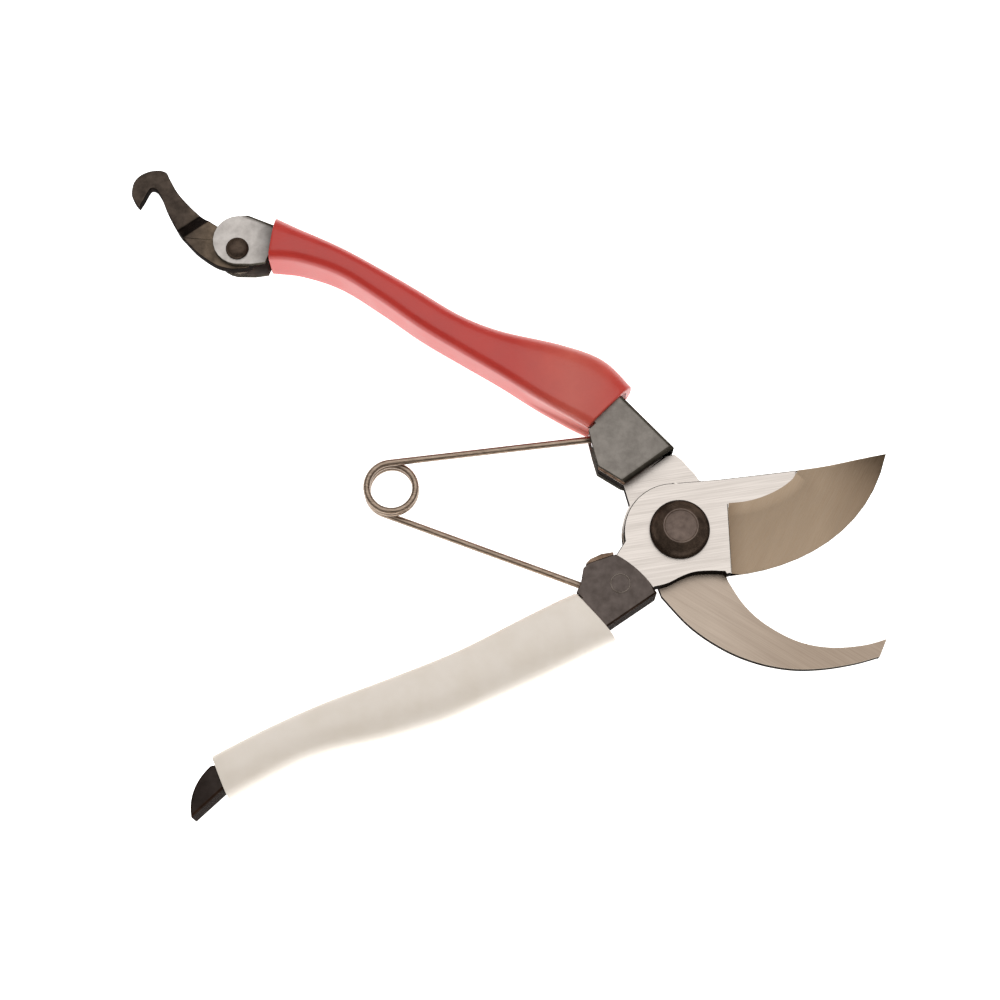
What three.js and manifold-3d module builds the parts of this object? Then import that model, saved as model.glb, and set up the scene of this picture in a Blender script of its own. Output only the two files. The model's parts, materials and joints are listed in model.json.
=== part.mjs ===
// Bypass pruning shears, lying open on a table, in millimetres.
// The blade pivot is the Z axis, the blades point along +X and the table is the plane z = 0.
// Two forged blades cross at the pivot. Each one's tang is brazed into the neck of a folded
// steel handle, and a vinyl sleeve covers the handle. A wire spring holds the handles apart,
// and a hook on the end of one handle catches the end of the other when they are closed.
import * as THREE from 'three';
import { mergeVertices } from 'three/addons/utils/BufferGeometryUtils.js';
import Module from 'manifold-3d';

// ---- driving dimensions ----------------------------------------------------------------
const MID = 8; // height of the plane between the two blades
const BLADE_GAP = 0.2; // running gap between the blades
const BLADE = 3.5; // thickness of each blade
const NECK_HALF = 5; // the folded handles reach this far above and below the mid plane
const SHEET = 1.3; // thickness of the folded handle sheet
const GRIP_HALF = 7.8; // half the height of the vinyl sleeves
const GRIP_BORE = 5.2; // half the height inside the sleeves
const LIP = 1.8; // sleeve wall over the open side of the handle
const BACK = 2.2; // sleeve wall over the fold of the handle
const PALM_SQUARENESS = 3; // 2 would make the palm side an ellipse
const SPRING_GROOVE = 1.2; // depth of the groove for the spring leg, at the sleeve's mouth
const FIT = 0.3; // play between pieces that touch
const SEAM = 0.1; // play between flat faces that touch
const ARC = 12; // straight steps in a curve

const CUT_LOW = MID + BLADE_GAP / 2;
const CUT_HIGH = CUT_LOW + BLADE;
const ANVIL_HIGH = MID - BLADE_GAP / 2;
const ANVIL_LOW = ANVIL_HIGH - BLADE;
const NECK_LOW = MID - NECK_HALF;
const NECK_HIGH = MID + NECK_HALF;

const BOLT_R = 4; // shank of the pivot bolt
const BOLT_HOLE_R = BOLT_R + 0.15;
const HEAD_R = 7.65;
const HEAD_HIGH = CUT_HIGH + SEAM + 4.4;
const NUT_ACROSS = 13; // across the flats
const NUT_HIGH = 3.4;
const WASHER_HIGH = ANVIL_LOW - SEAM;

const WIRE_R = 0.9; // spring wire
const COIL_R = 6.25; // middle of the wire
const COIL_X = -73.5;
const COIL_Y = 11.7;
const COIL_PITCH = 2.15;
const RED_PEG = [-20.1, 25.0]; // where the upper spring leg hooks into the red neck
const WHITE_PEG = [-23.8, -14.0]; // where the lower spring leg hooks into the white neck
const RED_PEG_HOLE_R = 1.75; // wide: this end of the spring slides a little as it closes
const WHITE_PEG_HOLE_R = 1.25;

const RIVET_X = -114.5;
const RIVET_Y = 75.7;
const RIVET_R = 2;
const CATCH = 3; // thickness of the catch hook
const CATCH_LOW = 5.6; // underside of the hook's outer end
const CATCH_STEP = 2.8; // height of its joggle, up to the part between the lugs
const CATCH_TURN = (125.5 * Math.PI) / 180; // direction across the joggle, seen from above
const CATCH_HOLE_R = RIVET_R + 0.25;

// ---- helpers ---------------------------------------------------------------------------
const wasm = await Module();
wasm.setup();

const at = (x, y) => new THREE.Vector2(x, y);
const points = (list) => list.map(([x, y]) => at(x, y));

// A closed geometry as a solid that can be cut and joined.
function solid(geometry) {
  const bare = geometry.clone();
  bare.deleteAttribute('normal');
  bare.deleteAttribute('uv');
  const merged = mergeVertices(bare, 1e-4);
  const mesh = new wasm.Mesh({
    numProp: 3,
    vertProperties: new Float32Array(merged.attributes.position.array),
    triVerts: new Uint32Array(merged.index.array),
  });
  return new wasm.Manifold(mesh);
}

function surface(body) {
  const mesh = body.getMesh();
  const geometry = new THREE.BufferGeometry();
  geometry.setAttribute('position', new THREE.BufferAttribute(mesh.vertProperties, 3));
  geometry.setIndex(new THREE.BufferAttribute(mesh.triVerts, 1));
  geometry.computeVertexNormals();
  return geometry;
}

// A flat outline given thickness between two heights.
function plate(shape, low, high) {
  const options = { depth: high - low, bevelEnabled: false, curveSegments: ARC };
  return solid(new THREE.ExtrudeGeometry(shape, options).translate(0, 0, low));
}

// An upright cylinder between two heights.
function post(x, y, radius, low, high, sides = 32) {
  const drum = new THREE.CylinderGeometry(radius, radius, high - low, sides);
  drum.rotateX(Math.PI / 2);
  return solid(drum.translate(x, y, (low + high) / 2));
}

// A turned piece on an upright axis, from its profile of [radius, height].
function turned(profile, x, y, sides = 32) {
  const lathe = new THREE.LatheGeometry(points(profile), sides);
  lathe.rotateX(Math.PI / 2);
  return solid(lathe.translate(x, y, 0));
}

// A skin over rings of the same number of points, closed by a flat face at each end.
function loft(rings) {
  const count = rings[0].length;
  const positions = rings.flat(2);
  const index = [];
  for (let i = 0; i + 1 < rings.length; i++) {
    for (let j = 0; j < count; j++) {
      const a = i * count + j;
      const b = i * count + ((j + 1) % count);
      index.push(a, b, b + count, a, b + count, a + count);
    }
  }
  const flat = rings[0].map(([x, y, z]) => at(Math.hypot(x - rings[0][0][0], y - rings[0][0][1]), z));
  const last = (rings.length - 1) * count;
  for (const [a, b, c] of THREE.ShapeUtils.triangulateShape(flat, [])) {
    index.push(a, c, b);
    index.push(last + a, last + b, last + c);
  }
  const geometry = new THREE.BufferGeometry();
  geometry.setAttribute('position', new THREE.Float32BufferAttribute(positions, 3));
  geometry.setIndex(index);
  const body = solid(geometry);
  if (body.volume() > 0) return body;
  for (let i = 0; i < index.length; i += 3) [index[i], index[i + 1]] = [index[i + 1], index[i]];
  geometry.setIndex(index);
  return solid(geometry);
}

// ---- handles, seen from above ----------------------------------------------------------
// Each sleeve lies between an inner edge, which faces the spring, and an outer edge. Both
// start at the mouth near the pivot and end at the tail of the handle.
const redInner = new THREE.SplineCurve(points([
  [-22.9, 26.8], [-35.2, 33.9], [-45.6, 40.7], [-56.0, 47.0],
  [-66.6, 53.6], [-77.1, 61.2], [-87.8, 68.1], [-98.4, 71.8], [-106.3, 72.6],
]));
const redOuter = new THREE.SplineCurve(points([
  [-12.4, 37.4], [-19.8, 44.7], [-29.9, 49.2], [-45.6, 53.4],
  [-56.1, 58.0], [-66.7, 64.6], [-77.3, 71.0], [-88.0, 77.0], [-98.7, 82.1], [-104.6, 85.2],
]));
const whiteInner = new THREE.SplineCurve(points([
  [-26.8, -16.8], [-39.3, -23.0], [-56.2, -31.6], [-72.7, -38.4],
  [-89.1, -44.7], [-103.0, -51.0], [-116.4, -58.0],
]));
const whiteOuter = new THREE.SplineCurve(points([
  [-17.1, -27.1], [-35.1, -36.7], [-47.4, -43.0], [-59.9, -48.5],
  [-72.4, -52.4], [-88.6, -56.4], [-97.8, -60.0], [-112.4, -68.0],
]));

// A point at share t of an edge, moved by an inset towards the other edge.
function inset(edge, other, t, distance) {
  const start = edge.getPointAt(t);
  const towards = other.getPointAt(t).sub(start).normalize();
  return start.addScaledVector(towards, distance);
}

function insetRun(edge, other, distance, steps = 14) {
  return Array.from({ length: steps + 1 }, (_, i) => inset(edge, other, i / steps, distance));
}

// The sleeve's section over its own width, from its inner side. That side is upright, with small
// corners, and a groove where the spring leg lies when the handles are closed. The rest is one
// full curve, squarer than an ellipse, that fills the palm.
function sleeveSection(width, innerR, groove) {
  const steps = 7;
  const quarter = Array.from({ length: steps + 1 }, (_, i) => (i / steps) * (Math.PI / 2));
  const low = quarter.map((angle) => [
    innerR * (1 - Math.cos(angle)),
    innerR * (1 - Math.sin(angle)) - GRIP_HALF,
  ]);
  const palm = quarter.map((angle) => [
    innerR + (width - innerR) * Math.sin(angle) ** (2 / PALM_SQUARENESS),
    -GRIP_HALF * Math.cos(angle) ** (2 / PALM_SQUARENESS),
  ]);
  const under = [...low, ...palm.slice(1, -1)];
  const over = under.map(([u, z]) => [u, -z]).reverse();
  return [...under, [width, 0], ...over, [0, 3.6], [groove, 2.5], [groove, -1.7], [0, -2.8]];
}

function boreSection(width) {
  return [[LIP, -GRIP_BORE], [width - BACK, -GRIP_BORE], [width - BACK, GRIP_BORE], [LIP, GRIP_BORE]];
}

// A skin through sections that stand between two edges. It can run on past both ends.
function sleeveLoft(inner, outer, section, overrun) {
  const stations = 26;
  const rings = [];
  for (let i = 0; i <= stations; i++) {
    const a = inner.getPointAt(i / stations);
    const b = outer.getPointAt(i / stations);
    const width = a.distanceTo(b);
    const across = b.sub(a).divideScalar(width);
    rings.push(section(width, i / stations).map(([u, z]) => [a.x + across.x * u, a.y + across.y * u, MID + z]));
  }
  const beyond = (ring, next) =>
    ring.map(([x, y, z], i) => [x + (x - next[i][0]) * overrun, y + (y - next[i][1]) * overrun, z]);
  if (overrun > 0) rings.unshift(beyond(rings[0], rings[1]));
  if (overrun > 0) rings.push(beyond(rings.at(-1), rings.at(-2)));
  return loft(rings);
}

function sleeve(inner, outer, innerR, grooveDepth) {
  const groove = (t) => grooveDepth * Math.max(0, 1 - t / 0.2);
  const block = sleeveLoft(inner, outer, (width, t) => sleeveSection(width, innerR, groove(t)), 0);
  return block.subtract(sleeveLoft(inner, outer, boreSection, 0.4));
}

// A folded handle: its outline, hollowed between the two cheeks. The hollow's own outline
// leaves the fold standing along the outer side and runs out past the open sides.
function foldedHandle(outline, hollow) {
  const block = plate(new THREE.Shape(outline), NECK_LOW, NECK_HIGH);
  const space = plate(new THREE.Shape(hollow), NECK_LOW + SHEET, NECK_HIGH - SHEET);
  return block.subtract(space);
}

function redHandle() {
  const fold = LIP + FIT;
  const back = BACK + FIT;
  const outline = [
    ...points([[-22.9, 26.2], [-21.7, 21.0], [-20.5, 16.6], [-13.7, 12.3], [-0.9, 21.7]]),
    ...insetRun(redOuter, redInner, back),
    ...points([[-111.8, 85.4], [-113.9, 84.9]]),
    ...lugArc(-114.3, 78.2, 6.8, 92, 262),
    ...points([[-110.6, 71.4], [-107.1, 71.9]]),
    ...insetRun(redInner, redOuter, fold).reverse(),
    at(-21.1, 27.9),
  ];
  const hollow = [
    ...points([[-13.7, 5.0], [4.0, 15.0], [-1.9, 20.8]]),
    ...insetRun(redOuter, redInner, back + SHEET),
    ...points([[-110.3, 83.6], [-110.3, 90.0], [-126.0, 90.0], [-126.0, 60.0], [-100.0, 60.0]]),
    ...points([[-60.0, 40.0], [-30.0, 10.0]]),
  ];
  const peg = post(...RED_PEG, RED_PEG_HOLE_R, NECK_LOW - 1, MID, 24);
  const rivetHole = post(RIVET_X, RIVET_Y, RIVET_R + SEAM, 0, 2 * MID, 24);
  return foldedHandle(outline, hollow).subtract(peg).subtract(rivetHole);
}

function lugArc(x, y, radius, from, to, steps = 12) {
  const lugPoint = (i) => {
    const angle = ((from + ((to - from) * i) / steps) * Math.PI) / 180;
    return at(x + radius * Math.cos(angle), y + radius * Math.sin(angle));
  };
  return Array.from({ length: steps + 1 }, (_, i) => lugPoint(i));
}

function whiteHandle() {
  const fold = LIP + FIT;
  const back = BACK + FIT;
  const neckEnd = new THREE.QuadraticBezierCurve(at(-16.4, -6.7), at(-9.9, -10.3), at(-6.1, -16.6));
  const claw = new THREE.QuadraticBezierCurve(at(-116.9, -60.2), at(-122.6, -65.8), at(-121.1, -72.9));
  const outline = [
    ...points([[-24.9, -17.9], [-26.4, -16.5], [-25.3, -14.3], [-24.6, -10.3], [-23.4, -9.1]]),
    ...neckEnd.getPoints(8),
    ...insetRun(whiteOuter, whiteInner, back),
    ...claw.getPoints(10).reverse(),
    ...insetRun(whiteInner, whiteOuter, fold).reverse(),
  ];
  const hollow = [
    ...points([[-30.0, 0.0], [-16.0, 2.0], [2.0, -14.0], [-6.8, -15.4]]),
    ...insetRun(whiteOuter, whiteInner, back + SHEET),
    ...points([[-118.6, -68.6], [-118.5, -66.6], [-115.6, -62.0]]),
    ...insetRun(whiteInner, whiteOuter, -2).reverse(),
  ];
  const peg = post(...WHITE_PEG, WHITE_PEG_HOLE_R, NECK_LOW - 1, MID, 24);
  return foldedHandle(outline, hollow).subtract(peg);
}

// ---- blades ----------------------------------------------------------------------------
// The tail of each tang, inside the handle: round the pocket for the spring leg and back.
const WHITE_TANG = points([
  [-16.5, -7.0], [-21.2, -9.0], [-20.3, -11.5], [-20.0, -16.0], [-25.0, -20.6],
  [-33.5, -25.6], [-34.3, -27.6], [-32.6, -29.8], [-18.5, -22.7], [-7.2, -15.3],
]);
const redFoldInside = (t) => inset(redOuter, redInner, t, BACK + SHEET + 2 * FIT);
const RED_TANG_BACK = [at(-2.1, 20.6), redFoldInside(0), redFoldInside(0.06), redFoldInside(0.12)];
const RED_TANG_TAIL = points([[-25.4, 39.6], [-24.9, 37.4], [-18.6, 31.6]]);
const RED_TANG_FRONT = points([
  [-16.4, 27.6], [-16.9, 22.0], [-20.7, 20.6], [-20.3, 16.9], [-13.8, 12.7],
]);

function cuttingBlade() {
  const shape = new THREE.Shape();
  shape.moveTo(-6.6, -14.9);
  shape.splineThru(points([[-3.2, -14.0], [0.4, -12.2], [3.6, -11.1], [7.2, -10.8], [11.2, -10.9]]));
  shape.lineTo(11.6, -11.6);
  shape.lineTo(12.8, -11.3);
  shape.bezierCurveTo(30.5, -9.6, 49.0, 0.2, 53.8, 20.8);
  shape.splineThru(points([[47.1, 19.2], [38.6, 17.2], [31.4, 15.9]]));
  shape.lineTo(21.6, 14.7);
  shape.lineTo(10.3, 13.3);
  shape.lineTo(-1.6, 12.3);
  shape.absarc(-1.2, -0.6, 12.9, 1.6, 3.32, false);
  WHITE_TANG.forEach((point) => shape.lineTo(point.x, point.y));
  return plate(shape, CUT_LOW, CUT_HIGH)
    .subtract(post(0, 0, BOLT_HOLE_R, 0, 2 * MID))
    .subtract(bevelCutter());
}

// The hollow-ground bevel: what the grinding wheel takes off the upper face. Each section
// runs from the ground boundary, over the cutting edge, to a line outside it.
function bevelCutter() {
  const boundary = new THREE.SplineCurve(points([
    [12.4, 7.1], [17.0, 7.6], [21.3, 8.8], [25.7, 10.9], [29.0, 13.4], [31.8, 16.4], [43.0, 19.4], [54.6, 22.2],
  ]));
  const edge = new THREE.CubicBezierCurve(at(12.8, -11.3), at(30.5, -9.6), at(49.0, 0.2), at(53.8, 20.8));
  const land = 0.35; // thickness left at the edge
  const hollow = 0.45; // depth of the hollow at its middle
  const rings = [];
  for (let i = 0; i <= 26; i++) {
    const t = i / 26;
    const top = boundary.getPoint(t);
    const low = edge.getPoint(t);
    const slope = edge.getTangent(t);
    const out = at(slope.y, -slope.x).multiplyScalar(2.2).add(low);
    const reach = low.distanceTo(top) / out.distanceTo(top);
    const topZ = CUT_HIGH + 0.02 - 1.6 * Math.max(0, (t - 0.6) / 0.4) ** 2;
    const outZ = topZ + (CUT_LOW + land - topZ) / reach;
    const ring = [];
    for (let k = 0; k <= 6; k++) {
      const s = k / 6;
      const across = top.clone().lerp(out, s);
      const dip = hollow * 4 * s * (1 - s) * (1 - t * 0.7);
      ring.push([across.x, across.y, topZ + (outZ - topZ) * s - dip]);
    }
    ring.push([out.x, out.y, 2 * MID], [top.x, top.y, 2 * MID]);
    rings.push(ring);
  }
  return loft(rings);
}

function counterBlade() {
  const shape = new THREE.Shape();
  shape.moveTo(-12.6, 9.4);
  shape.absarc(0, 0, 14.4, 2.6, 4.3, false);
  shape.lineTo(-4.6, -16.5);
  shape.splineThru(points([
    [2.5, -24.3], [10.7, -30.0], [18.7, -33.4], [27.0, -35.1], [35.0, -35.1], [43.4, -33.8], [50.0, -32.0],
  ]));
  shape.lineTo(52.0, -27.4);
  shape.splineThru(points([[46.1, -29.0], [37.7, -29.6], [29.5, -28.0], [21.6, -23.7], [16.2, -18.6], [12.4, -12.6]]));
  shape.lineTo(11.2, -9.4);
  shape.absarc(0, 0, 15.2, -0.7, 1.19, false);
  const shoulder = points([[4.5, 15.8], [2.8, 17.7], [1.4, 19.4], [-0.5, 21.0]]);
  const tang = [...shoulder, ...RED_TANG_BACK, ...RED_TANG_TAIL, ...RED_TANG_FRONT];
  tang.forEach((point) => shape.lineTo(point.x, point.y));
  return plate(shape, ANVIL_LOW, ANVIL_HIGH).subtract(post(0, 0, BOLT_HOLE_R, 0, 2 * MID));
}

// The strips that fill each neck beside the tang, so that the two cheeks can be brazed flat.
// A bead of braze stands along the inner side of the white neck.
function whitePacking() {
  const end = new THREE.QuadraticBezierCurve(at(-8.3, -16.2), at(-11.3, -10.8), at(-16.8, -7.4));
  const strip = [...WHITE_TANG.slice(1, 5), ...points([[-25.4, -23.0], [-23.6, -25.2]]), at(-18.5, -22.7)];
  const packing = plate(new THREE.Shape([...end.getPoints(6), ...strip]), ANVIL_LOW, ANVIL_HIGH);
  const rim = points([[-16.9, -5.9], [-20.0, -6.4], [-22.8, -7.7], [-23.9, -8.9]]);
  const beadFace = points([[-23.5, -8.95], [-20.1, -7.75], [-16.9, -6.65]]);
  const beadRoot = points([[-21.3, -9.6], [-16.9, -7.7]]);
  const bead = plate(new THREE.Shape([...rim, ...beadFace]), ANVIL_LOW, CUT_HIGH + 0.6);
  return packing.add(bead).add(plate(new THREE.Shape([...rim, ...beadRoot]), ANVIL_LOW, ANVIL_HIGH));
}

function redPacking() {
  const end = points([[-19.0, 35.6], [-17.8, 31.0]]);
  const strip = [...RED_TANG_BACK.slice(1, 2), ...end, ...RED_TANG_FRONT];
  return plate(new THREE.Shape([at(-2.6, 21.1), ...strip]), CUT_LOW, CUT_HIGH);
}

// ---- pivot -----------------------------------------------------------------------------
function pivotBolt() {
  const seat = CUT_HIGH + SEAM;
  return turned([
    [0, 0], [BOLT_R - 0.5, 0], [BOLT_R, 0.5], [BOLT_R, seat], [HEAD_R - 0.3, seat], [HEAD_R, seat + 0.3],
    [HEAD_R, seat + 1.2], [HEAD_R - 0.7, seat + 2.5], [HEAD_R - 1.8, seat + 3.5], [4.4, HEAD_HIGH],
    [0, HEAD_HIGH],
  ], 0, 0);
}

function pivotNut() {
  const flats = new THREE.CylinderGeometry(NUT_ACROSS / Math.sqrt(3), NUT_ACROSS / Math.sqrt(3), NUT_HIGH, 6);
  flats.rotateX(Math.PI / 2);
  flats.rotateZ(0.4);
  flats.translate(0, 0, NUT_HIGH / 2);
  return solid(flats).subtract(post(0, 0, BOLT_R + 0.2, -1, MID));
}

// A spring washer: a flat ring cut through, so that it can be squeezed.
function lockWasher() {
  const ring = post(0, 0, 7, NUT_HIGH + SEAM, WASHER_HIGH).subtract(post(0, 0, BOLT_R + 0.2, 0, MID));
  const slit = solid(new THREE.BoxGeometry(6, 0.8, 4).rotateZ(0.5).translate(-6, -3, NUT_HIGH));
  return ring.subtract(slit);
}

// ---- spring ----------------------------------------------------------------------------
// One wire, split halfway round its coil so that each half can turn with its own leg. The
// coil runs down anticlockwise from the red leg to the white one.
function tangentAngle(peg, side) {
  const away = Math.hypot(peg[0] - COIL_X, peg[1] - COIL_Y);
  return Math.atan2(peg[1] - COIL_Y, peg[0] - COIL_X) + side * Math.acos(COIL_R / away);
}

const RED_ANGLE = tangentAngle(RED_PEG, 1);
const WHITE_ANGLE = tangentAngle(WHITE_PEG, -1) + 6 * Math.PI;
const COIL_TURN = WHITE_ANGLE - RED_ANGLE;
const COIL_HALF = (COIL_PITCH * COIL_TURN) / (4 * Math.PI);
const COIL_SPLIT = (RED_ANGLE + WHITE_ANGLE) / 2;

class SpringHalf extends THREE.Curve {
  constructor(peg, leaves, pegZ) {
    super();
    const split = COIL_SPLIT + Math.sign(leaves - COIL_SPLIT) * (FIT / 2 / COIL_R);
    const coilZ = (angle) => MID + COIL_HALF * (1 - (2 * (angle - RED_ANGLE)) / COIL_TURN);
    this.coilAt = (s) => {
      const angle = split + (leaves - split) * s;
      return new THREE.Vector3(
        COIL_X + COIL_R * Math.cos(angle),
        COIL_Y + COIL_R * Math.sin(angle),
        coilZ(angle),
      );
    };
    this.tip = new THREE.Vector3(...peg, pegZ);
    this.foot = this.coilAt(1);
    const arc = Math.abs(leaves - split) * COIL_R;
    this.share = arc / (arc + this.foot.distanceTo(this.tip));
  }

  getPoint(t, target = new THREE.Vector3()) {
    if (t <= this.share) return target.copy(this.coilAt(t / this.share));
    return target.lerpVectors(this.foot, this.tip, (t - this.share) / (1 - this.share));
  }
}

// One half of the spring, with its end bent down into the hole in the neck's lower cheek.
function springHalf(peg, leaves, pegZ) {
  const section = new THREE.Shape();
  section.absarc(0, 0, WIRE_R, 0, 2 * Math.PI, false);
  const path = new SpringHalf(peg, leaves, pegZ);
  const wire = new THREE.ExtrudeGeometry(section, {
    steps: 64, curveSegments: 5, bevelEnabled: false, extrudePath: path,
  });
  const bend = new THREE.SphereGeometry(WIRE_R * 1.02, 10, 8).translate(...peg, pegZ);
  return solid(wire).add(solid(bend)).add(post(...peg, WIRE_R * 0.98, NECK_LOW, pegZ, 10));
}

// ---- catch -----------------------------------------------------------------------------
// The hook is flat sheet with one joggle: cut out in plan, then crossed with its side view.
function catchHook() {
  const plan = new THREE.Shape();
  plan.moveTo(-27.1, 13.7);
  plan.splineThru(points([
    [-28.1, 14.8], [-29.2, 17.1], [-28.9, 20.4], [-27.3, 22.6], [-24.7, 23.9], [-22.0, 24.2],
  ]));
  plan.splineThru(points([
    [-20.2, 23.5], [-19.2, 21.6], [-16.9, 17.6], [-13.6, 13.8], [-10.9, 11.2], [-8.6, 9.0], [-4.4, 6.2],
  ]));
  plan.absarc(0, 0, 5.4, 1.9, -1.1, true);
  plan.lineTo(-1.6, -5.1);
  plan.splineThru(points([
    [-5.6, -4.0], [-10.1, -1.0], [-12.8, 1.6], [-15.1, 4.4], [-17.9, 9.1], [-19.8, 12.8], [-21.2, 16.2],
    [-22.6, 18.5],
  ]));
  plan.splineThru(points([[-23.6, 19.0], [-24.5, 18.6], [-26.0, 15.6]]));
  plan.closePath();
  const high = CATCH_LOW + CATCH_STEP;
  const side = new THREE.Shape(points([
    [-12, high], [10.6, high], [14.4, CATCH_LOW], [40, CATCH_LOW], [40, CATCH_LOW + CATCH],
    [15.3, CATCH_LOW + CATCH], [11.5, high + CATCH], [-12, high + CATCH],
  ]));
  const band = new THREE.ExtrudeGeometry(side, { depth: 80, bevelEnabled: false });
  band.translate(0, 0, -40).rotateX(Math.PI / 2).rotateZ(CATCH_TURN);
  return plate(plan, 0, 2 * MID)
    .intersect(solid(band))
    .subtract(post(0, 0, CATCH_HOLE_R, 0, 2 * MID, 24))
    .translate([RIVET_X, RIVET_Y, 0]);
}

function catchRivet() {
  const head = NECK_HIGH + SEAM;
  const foot = NECK_LOW - SEAM;
  return turned([
    [0, foot - 1.4], [1.6, foot - 1.3], [2.6, foot - 0.8], [3, foot], [RIVET_R, foot], [RIVET_R, head],
    [3, head], [2.8, head + 0.7], [2.1, head + 1.3], [1.1, head + 1.6], [0, head + 1.7],
  ], RIVET_X, RIVET_Y, 24);
}

// A bush under the hook keeps it against the upper lug.
function catchBush() {
  const low = NECK_LOW + SHEET + SEAM;
  const high = CATCH_LOW + CATCH_STEP - SEAM;
  const tube = post(RIVET_X, RIVET_Y, 4, low, high, 24);
  return tube.subtract(post(RIVET_X, RIVET_Y, RIVET_R + 0.2, 0, 2 * MID, 24));
}

// ---- the shears ------------------------------------------------------------------------
const shears = new THREE.Group();

function add(name, body, color, roughness, metalness) {
  const material = new THREE.MeshStandardMaterial({ color, roughness, metalness });
  const mesh = new THREE.Mesh(surface(body), material);
  mesh.name = name;
  shears.add(mesh);
}

add('cutting_blade', cuttingBlade(), 0xd8cec2, 0.35, 1);
add('white_tang_packing', whitePacking(), 0x6b5a50, 0.5, 1);
add('white_handle_shell', whiteHandle(), 0x54494a, 0.45, 1);
add('white_grip', sleeve(whiteInner, whiteOuter, 2, 0), 0xe2dacd, 0.45, 0);
add('counter_blade', counterBlade(), 0xb5a597, 0.4, 1);
add('red_tang_packing', redPacking(), 0x5c5450, 0.5, 1);
add('red_handle_shell', redHandle(), 0x7e7673, 0.4, 1);
add('red_grip', sleeve(redInner, redOuter, 2.8, SPRING_GROOVE), 0xb04b46, 0.45, 0);
add('pivot_bolt', pivotBolt(), 0x4a403b, 0.45, 1);
add('lock_washer', lockWasher(), 0x6f6660, 0.4, 1);
add('pivot_nut', pivotNut(), 0x4d4440, 0.45, 1);
add('spring_upper_leg', springHalf(RED_PEG, RED_ANGLE, MID), 0x96826f, 0.35, 1);
add('spring_lower_leg', springHalf(WHITE_PEG, WHITE_ANGLE, MID), 0x96826f, 0.35, 1);
add('catch_hook', catchHook(), 0x504841, 0.45, 1);
add('catch_rivet', catchRivet(), 0x4a4340, 0.45, 1);
add('catch_bush', catchBush(), 0x8a8078, 0.4, 1);

export default shears;
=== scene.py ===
# Bypass pruning shears, lying open on a light table. Everything is in metres, in the frame of
# the CAD model: +Z up along the blade pivot, +X towards the blade tips, the table at z = 0.
import json
import math

import bmesh
import bpy
from mathutils import Matrix, Vector


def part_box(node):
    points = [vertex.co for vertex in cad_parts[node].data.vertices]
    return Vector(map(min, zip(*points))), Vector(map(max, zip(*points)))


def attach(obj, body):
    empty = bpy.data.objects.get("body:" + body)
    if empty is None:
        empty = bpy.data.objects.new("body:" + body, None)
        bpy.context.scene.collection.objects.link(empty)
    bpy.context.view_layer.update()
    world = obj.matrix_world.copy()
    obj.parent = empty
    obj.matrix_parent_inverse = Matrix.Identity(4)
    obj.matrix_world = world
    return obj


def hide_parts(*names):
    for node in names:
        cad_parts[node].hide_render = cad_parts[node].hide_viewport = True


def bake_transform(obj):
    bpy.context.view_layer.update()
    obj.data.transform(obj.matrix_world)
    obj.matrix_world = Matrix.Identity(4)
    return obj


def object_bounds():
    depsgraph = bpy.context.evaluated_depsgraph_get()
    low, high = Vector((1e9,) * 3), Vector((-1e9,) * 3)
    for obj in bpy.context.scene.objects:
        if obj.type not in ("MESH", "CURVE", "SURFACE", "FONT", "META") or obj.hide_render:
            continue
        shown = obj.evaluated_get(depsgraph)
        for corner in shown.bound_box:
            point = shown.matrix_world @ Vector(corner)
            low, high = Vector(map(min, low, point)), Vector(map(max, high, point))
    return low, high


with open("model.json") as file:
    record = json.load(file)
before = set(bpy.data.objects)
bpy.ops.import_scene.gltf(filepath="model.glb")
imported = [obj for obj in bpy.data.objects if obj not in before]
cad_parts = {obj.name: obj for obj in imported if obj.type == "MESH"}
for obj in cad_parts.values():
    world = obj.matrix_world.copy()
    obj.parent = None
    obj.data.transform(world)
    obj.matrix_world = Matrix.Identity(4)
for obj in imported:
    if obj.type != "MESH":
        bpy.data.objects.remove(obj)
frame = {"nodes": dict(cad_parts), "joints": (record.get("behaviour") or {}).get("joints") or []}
cad_low, cad_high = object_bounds()

MM = 0.001
NODES = frame["nodes"]

# What grinding and tumbling take off a sharp edge.
BROKEN_EDGE = 0.12 * MM

# The vinyl sleeves, in mm, as the CAD model has them: the height of their middle, half their height and
# the half height of their bore about it, their wall, and how square the palm side of their section is.
SLEEVE_MIDDLE = 8.0
SLEEVE_HALF = 7.8
SLEEVE_BORE = 5.5
SLEEVE_WALL = 2.0
PALM_SQUARENESS = 3.0
# How much lower each half of a sleeve is at its mouth, at its tail and at its waist, in mm, and the
# share of its length that this takes.
MOUTH_DROP, MOUTH_RUN = 0.9, 0.07
TAIL_DROP, TAIL_RUN = 0.35, 0.05
WAIST_DROP, WAIST_RUN = 0.3, 0.6
# The groove at a sleeve's mouth where the spring's leg folds away: the share of its depth at each height
# in mm, and the share of the sleeve's length in which it runs out.
GROOVE = [(0, 3.6), (0.6, 3.1), (1, 2.4), (1, -1.6), (0.6, -2.3), (0, -2.8)]
GROOVE_RUN = 0.2
# How finely a sleeve is drawn: sections along it, one bore section for every few of them, and points on
# a quarter of a section.
STATIONS = 72
BORE_EVERY = 3
QUARTER_STEPS = 12
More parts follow.
